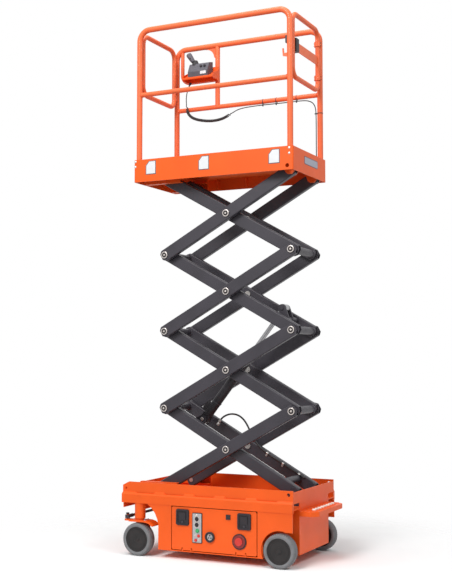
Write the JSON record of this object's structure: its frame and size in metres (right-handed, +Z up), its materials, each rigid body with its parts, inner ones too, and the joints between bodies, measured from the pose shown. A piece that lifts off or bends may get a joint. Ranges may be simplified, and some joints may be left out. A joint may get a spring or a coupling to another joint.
{
  "type": "scissor lift",
  "caption": "Compact self-propelled electric scissor lift: guard-railed platform on crossed arms over a low wheeled chassis, with a swing gate and a hung control box.",
  "frame": {"origin": "on the ground, under the middle of the machine's length and width", "axes": "+X towards the steered end, +Y the machine's left side, +Z up"},
  "size_m": [1.32, 0.76, 3.508],
  "materials": {
    "orange_panel": "gloss",
    "orange_rail": "gloss",
    "grey_arm": "satin",
    "zinc": "satin",
    "rod_chrome": "polished",
    "tyre_grey": "matt",
    "hub_black": "satin",
    "black_plastic": "matt",
    "battery_case": "matt",
    "rubber_line": "matt"
  },
  "bodies": {
    "chassis": {"chassis_frame": "orange_panel", "side_rails": "orange_panel", "scissor_mounts_lower": "grey_arm", "rear_step": "orange_panel", "battery": "battery_case", "front_axle": "orange_panel", "rear_axles": "zinc"},
    "door_left_body": {"door_left": "orange_panel", "door_left_latches": "black_plastic", "door_left_controls": "black_plastic"},
    "steer_left": {"knuckle_left": "orange_panel"},
    "wheel_front_left": {"tyre_front_left": "tyre_grey", "hub_front_left": "hub_black"},
    "wheel_rear_left": {"tyre_rear_left": "tyre_grey", "hub_rear_left": "hub_black"},
    "door_right_body": {"door_right": "orange_panel", "door_right_latches": "black_plastic"},
    "steer_right": {"knuckle_right": "orange_panel"},
    "wheel_front_right": {"tyre_front_right": "tyre_grey", "hub_front_right": "hub_black"},
    "wheel_rear_right": {"tyre_rear_right": "tyre_grey", "hub_rear_right": "hub_black"},
    "tie_rod_body": {"tie_rod": "zinc"},
    "inner_1": {"inner_arms_1": "grey_arm", "cross_tubes_1": "grey_arm", "cylinder_mount_lower": "grey_arm", "hose": "rubber_line"},
    "outer_1": {"outer_arms_1": "grey_arm", "pins_1": "zinc", "rollers_lower": "zinc"},
    "inner_2": {"inner_arms_2": "grey_arm", "cross_tubes_2": "grey_arm"},
    "outer_2": {"outer_arms_2": "grey_arm", "pins_2": "zinc"},
    "inner_3": {"inner_arms_3": "grey_arm", "cross_tubes_3": "grey_arm", "cylinder_mount_upper": "grey_arm"},
    "outer_3": {"outer_arms_3": "grey_arm", "pins_3": "zinc"},
    "inner_4": {"inner_arms_4": "grey_arm", "cross_tubes_4": "grey_arm", "rollers_upper": "zinc"},
    "outer_4": {"outer_arms_4": "grey_arm", "pins_4": "zinc"},
    "barrel": {"cylinder_barrel": "grey_arm"},
    "rod": {"cylinder_rod": "rod_chrome"},
    "platform": {"platform_pan": "orange_panel", "platform_underframe": "orange_panel", "rail_left": "orange_rail", "rail_right": "orange_rail", "rail_front": "orange_rail", "control_hoop": "orange_rail", "control_tray": "orange_panel", "control_box": "black_plastic", "cord_lead_upper": "rubber_line", "cord_coil": "rubber_line", "cord_lead_lower": "rubber_line"},
    "gate_body": {"gate": "orange_rail", "gate_latch": "black_plastic"}
  },
  "joints": [
    {"name": "lift", "type": "hinge", "parent": "chassis", "child": "inner_1", "pos_m": [-0.479, 0, 0.436], "axis": [0, -1, 0], "range_deg": [-24, 8.8]},
    {"name": "cross_1", "type": "hinge", "parent": "inner_1", "child": "outer_1", "pos_m": [-0.02421, 0, 0.69017], "axis": [0, -1, 0], "range_deg": [-18.1, 48.5]},
    {"name": "elbow_1", "type": "hinge", "parent": "outer_1", "child": "inner_2", "pos_m": [-0.479, 0, 0.94435], "axis": [0, -1, 0], "range_deg": [-48.5, 18.1]},
    {"name": "cross_2", "type": "hinge", "parent": "inner_2", "child": "outer_2", "pos_m": [-0.02421, 0, 1.19853], "axis": [0, -1, 0], "range_deg": [-18.1, 48.5]},
    {"name": "elbow_2", "type": "hinge", "parent": "outer_2", "child": "inner_3", "pos_m": [-0.479, 0, 1.4527], "axis": [0, -1, 0], "range_deg": [-48.5, 18.1]},
    {"name": "cross_3", "type": "hinge", "parent": "inner_3", "child": "outer_3", "pos_m": [-0.02421, 0, 1.70687], "axis": [0, -1, 0], "range_deg": [-18.1, 48.5]},
    {"name": "elbow_3", "type": "hinge", "parent": "outer_3", "child": "inner_4", "pos_m": [-0.479, 0, 1.96105], "axis": [0, -1, 0], "range_deg": [-48.5, 18.1]},
    {"name": "cross_4", "type": "hinge", "parent": "inner_4", "child": "outer_4", "pos_m": [-0.02421, 0, 2.21522], "axis": [0, -1, 0], "range_deg": [-18.1, 48.5]},
    {"name": "platform_level", "type": "hinge", "parent": "outer_4", "child": "platform", "pos_m": [-0.479, 0, 2.4694], "axis": [0, -1, 0], "range_deg": [-24.5, 9.3]},
    {"name": "barrel_swing", "type": "hinge", "parent": "inner_1", "child": "barrel", "pos_m": [0.23477, 0, 0.87042], "axis": [0, -1, 0], "range_deg": [-21.09, 56.66]},
    {"name": "rod_stroke", "type": "slide", "parent": "barrel", "child": "rod", "axis": [-0.6215, 0, 0.7834], "range_m": [-0.2906, 0.1129]},
    {"name": "steer", "type": "hinge", "parent": "chassis", "child": "steer_left", "pos_m": [0.54, 0.33, 0.27], "axis": [0, 0, 1], "range_deg": [-50, 50]},
    {"name": "steer_follow", "type": "hinge", "parent": "chassis", "child": "steer_right", "pos_m": [0.54, -0.33, 0.27], "axis": [0, 0, 1], "range_deg": [-50.5, 50.5]},
    {"name": "tie_rod_pivot", "type": "hinge", "parent": "steer_left", "child": "tie_rod_body", "pos_m": [0.635, 0.33, 0.241], "axis": [0, 0, 1], "range_deg": [-50.5, 50.5]},
    {"name": "roll_front_left", "type": "hinge", "parent": "steer_left", "child": "wheel_front_left", "pos_m": [0.54, 0.345, 0.105], "axis": [0, 1, 0], "continuous": true},
    {"name": "roll_rear_left", "type": "hinge", "parent": "chassis", "child": "wheel_rear_left", "pos_m": [-0.46, 0.345, 0.105], "axis": [0, 1, 0], "continuous": true},
    {"name": "door_left_drop", "type": "hinge", "parent": "chassis", "child": "door_left_body", "pos_m": [0, 0.357, 0.066], "axis": [-1, 0, 0], "range_deg": [0, 85]},
    {"name": "roll_front_right", "type": "hinge", "parent": "steer_right", "child": "wheel_front_right", "pos_m": [0.54, -0.345, 0.105], "axis": [0, 1, 0], "continuous": true},
    {"name": "roll_rear_right", "type": "hinge", "parent": "chassis", "child": "wheel_rear_right", "pos_m": [-0.46, -0.345, 0.105], "axis": [0, 1, 0], "continuous": true},
    {"name": "door_right_drop", "type": "hinge", "parent": "chassis", "child": "door_right_body", "pos_m": [0, -0.357, 0.066], "axis": [1, 0, 0], "range_deg": [0, 85]},
    {"name": "gate_swing", "type": "hinge", "parent": "platform", "child": "gate_body", "pos_m": [-0.499, -0.22, 3.268], "axis": [0, 0, -1], "range_deg": [0, 90]}
  ],
  "couplings": [
    {"joint": "cross_1", "follows": "lift", "ratio": -2},
    {"joint": "elbow_1", "follows": "lift", "ratio": 2},
    {"joint": "cross_2", "follows": "lift", "ratio": -2},
    {"joint": "elbow_2", "follows": "lift", "ratio": 2},
    {"joint": "cross_3", "follows": "lift", "ratio": -2},
    {"joint": "elbow_3", "follows": "lift", "ratio": 2},
    {"joint": "cross_4", "follows": "lift", "ratio": -2},
    {"joint": "platform_level", "follows": "lift", "ratio": 1},
    {"joint": "barrel_swing", "follows": "lift", "ratio": -2.34},
    {"joint": "rod_stroke", "follows": "lift", "m_per_rad": 0.67},
    {"joint": "steer_follow", "follows": "steer", "ratio": 1},
    {"joint": "tie_rod_pivot", "follows": "steer", "ratio": -1}
  ]
}
